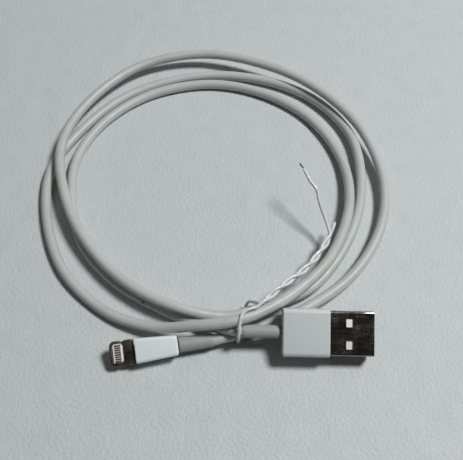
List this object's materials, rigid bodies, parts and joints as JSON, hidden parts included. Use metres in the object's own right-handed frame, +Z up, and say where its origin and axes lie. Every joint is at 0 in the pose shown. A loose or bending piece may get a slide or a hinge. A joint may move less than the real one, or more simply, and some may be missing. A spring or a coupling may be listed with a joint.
{
  "type": "charging cable",
  "caption": "White charging cable wound in loose turns and held by a coated twist tie, with a wide flat plug at one end and a small contact plug at the other.",
  "frame": {"origin": "on the table, under the middle of the cable's bounding box as it lies coiled", "axes": "+Z up from the table, +X the way the wide plug's mouth points, +Y from the plugs towards the far side of the coil"},
  "size_m": [0.1086, 0.1151, 0.016],
  "materials": {
    "cord_rubber": "satin",
    "sleeve_rubber": "matte",
    "white_plastic": "satin",
    "insulator": "matte",
    "gold": "polished",
    "nickel": "polished",
    "tinned_steel": "satin",
    "board": "satin",
    "chip": "matte",
    "tie_plastic": "satin",
    "tie_wire": "satin",
    "red_insulation": "satin",
    "white_insulation": "satin",
    "green_insulation": "satin",
    "black_insulation": "satin"
  },
  "bodies": {
    "cord": {"cord_jacket": "cord_rubber", "tie_coating": "tie_plastic", "tie_core_end": "tie_wire"},
    "charger_plug": {"charger_contact_1": "gold", "charger_contact_2": "gold", "charger_contact_3": "gold", "charger_contact_4": "gold", "charger_crimp": "tinned_steel", "charger_housing": "white_plastic", "charger_shell": "nickel", "charger_shield": "tinned_steel", "charger_sleeve": "sleeve_rubber", "charger_tongue": "insulator", "charger_wire_black": "black_insulation", "charger_wire_green": "green_insulation", "charger_wire_red": "red_insulation", "charger_wire_white": "white_insulation"},
    "phone_plug": {"phone_circuit_board": "board", "phone_contact_bottom_1": "gold", "phone_contact_bottom_2": "gold", "phone_contact_bottom_3": "gold", "phone_contact_bottom_4": "gold", "phone_contact_bottom_5": "gold", "phone_contact_bottom_6": "gold", "phone_contact_bottom_7": "gold", "phone_contact_bottom_8": "gold", "phone_contact_top_1": "gold", "phone_contact_top_2": "gold", "phone_contact_top_3": "gold", "phone_contact_top_4": "gold", "phone_contact_top_5": "gold", "phone_contact_top_6": "gold", "phone_contact_top_7": "gold", "phone_contact_top_8": "gold", "phone_control_chip": "chip", "phone_crimp": "tinned_steel", "phone_housing": "white_plastic", "phone_power_chip": "chip", "phone_shield_can": "tinned_steel", "phone_sleeve": "sleeve_rubber", "phone_tip_frame": "nickel", "phone_tip_insulator": "insulator", "phone_wire_black": "black_insulation", "phone_wire_green": "green_insulation", "phone_wire_red": "red_insulation", "phone_wire_white": "white_insulation"}
  },
  "joints": [
    {"name": "charger_strain_relief", "type": "hinge", "parent": "cord", "child": "charger_plug", "pos_m": [0.0085, -0.0489, 0.0065], "axis": [0, 0, 1], "range_deg": [-12, 1], "stiffness_Nm_per_rad": 0.01},
    {"name": "phone_strain_relief", "type": "hinge", "parent": "cord", "child": "phone_plug", "pos_m": [0.0005, -0.0502, 0.0034], "axis": [0, 0, 1], "range_deg": [-2, 14], "stiffness_Nm_per_rad": 0.01}
  ]
}
